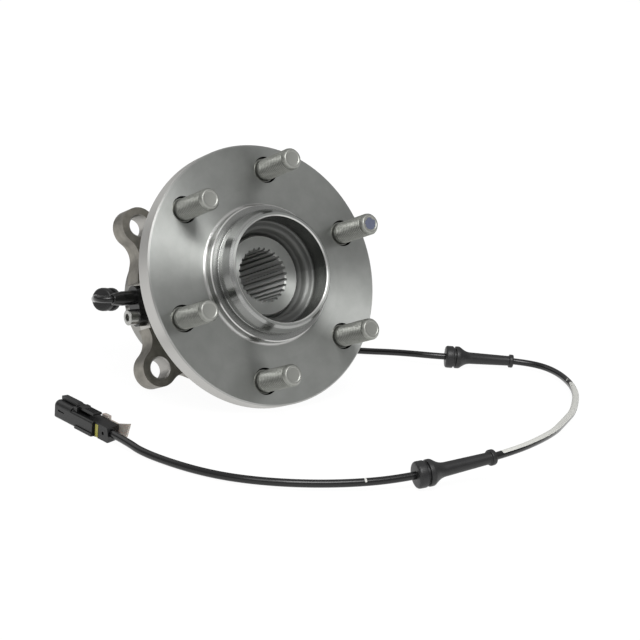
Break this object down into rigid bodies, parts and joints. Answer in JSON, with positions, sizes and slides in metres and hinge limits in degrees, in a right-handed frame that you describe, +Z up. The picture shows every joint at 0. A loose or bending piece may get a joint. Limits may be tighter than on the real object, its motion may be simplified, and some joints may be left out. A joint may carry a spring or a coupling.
{
  "type": "wheel hub bearing",
  "caption": "Driven wheel hub bearing with a studded flange, an outer ring with bolt ears, and a wired wheel-speed sensor with cable grommets and connector.",
  "frame": {"origin": "centre of the wheel flange's front face, on the spin axis", "axes": "+Z up, with the unit standing on a level surface on its flange's rim and two ears; the spin axis points towards -Y and up, and the sensor and connector are on the -X side"},
  "size_m": [0.3095, 0.2631, 0.1367],
  "materials": {
    "turned_steel": "satin",
    "forged_steel": "satin",
    "stud_steel": "satin",
    "bearing_steel": "gloss",
    "pressed_steel": "satin",
    "seal_rubber": "matte",
    "cage_polymer": "matte",
    "sensor_plastic": "gloss",
    "screw_steel": "satin",
    "cable_jacket": "satin",
    "grommet_rubber": "matte",
    "connector_plastic": "satin",
    "lock_plastic": "satin",
    "clip_nylon": "satin",
    "pin_brass": "satin"
  },
  "bodies": {
    "carrier": {"outer_ring": "forged_steel", "outboard_seal_case": "pressed_steel", "outboard_seal_lip": "seal_rubber", "inboard_seal_case": "pressed_steel", "inboard_seal_lip": "seal_rubber", "sensor_body": "sensor_plastic", "sensor_bush": "pin_brass", "sensor_screw": "screw_steel", "sensor_o_ring": "seal_rubber", "sensor_boot": "grommet_rubber", "sensor_cable": "cable_jacket", "knuckle_grommet": "grommet_rubber", "strut_grommet": "grommet_rubber", "body_grommet": "grommet_rubber", "connector_cap": "connector_plastic", "connector_lock": "lock_plastic", "connector_housing": "connector_plastic", "wire_seals": "seal_rubber", "terminal_pins": "pin_brass", "mounting_clip": "clip_nylon"},
    "hub": {"hub_flange": "turned_steel", "wheel_studs": "stud_steel", "inner_ring": "bearing_steel", "inboard_slinger": "pressed_steel", "tone_ring": "pressed_steel"},
    "outboard_row": {"outboard_balls": "bearing_steel", "outboard_cage": "cage_polymer"},
    "inboard_row": {"inboard_balls": "bearing_steel", "inboard_cage": "cage_polymer"},
    "latch": {"connector_latch": "connector_plastic"}
  },
  "joints": [
    {"name": "hub_spin", "type": "hinge", "parent": "carrier", "child": "hub", "pos_m": [0, 0, 0], "axis": [0, -0.9237, 0.3831], "continuous": true},
    {"name": "outboard_row_spin", "type": "hinge", "parent": "carrier", "child": "outboard_row", "pos_m": [0, 0, 0], "axis": [0, -0.9237, 0.3831], "continuous": true},
    {"name": "inboard_row_spin", "type": "hinge", "parent": "carrier", "child": "inboard_row", "pos_m": [0, 0, 0], "axis": [0, -0.9237, 0.3831], "continuous": true},
    {"name": "latch_press", "type": "hinge", "parent": "carrier", "child": "latch", "pos_m": [-0.10871, -0.00598, -0.06019], "axis": [0.9973, 0.0732, 0], "range_deg": [0, 5], "stiffness_Nm_per_rad": 0.05}
  ],
  "couplings": [
    {"joint": "outboard_row_spin", "follows": "hub_spin", "ratio": 0.414},
    {"joint": "inboard_row_spin", "follows": "hub_spin", "ratio": 0.414}
  ]
}
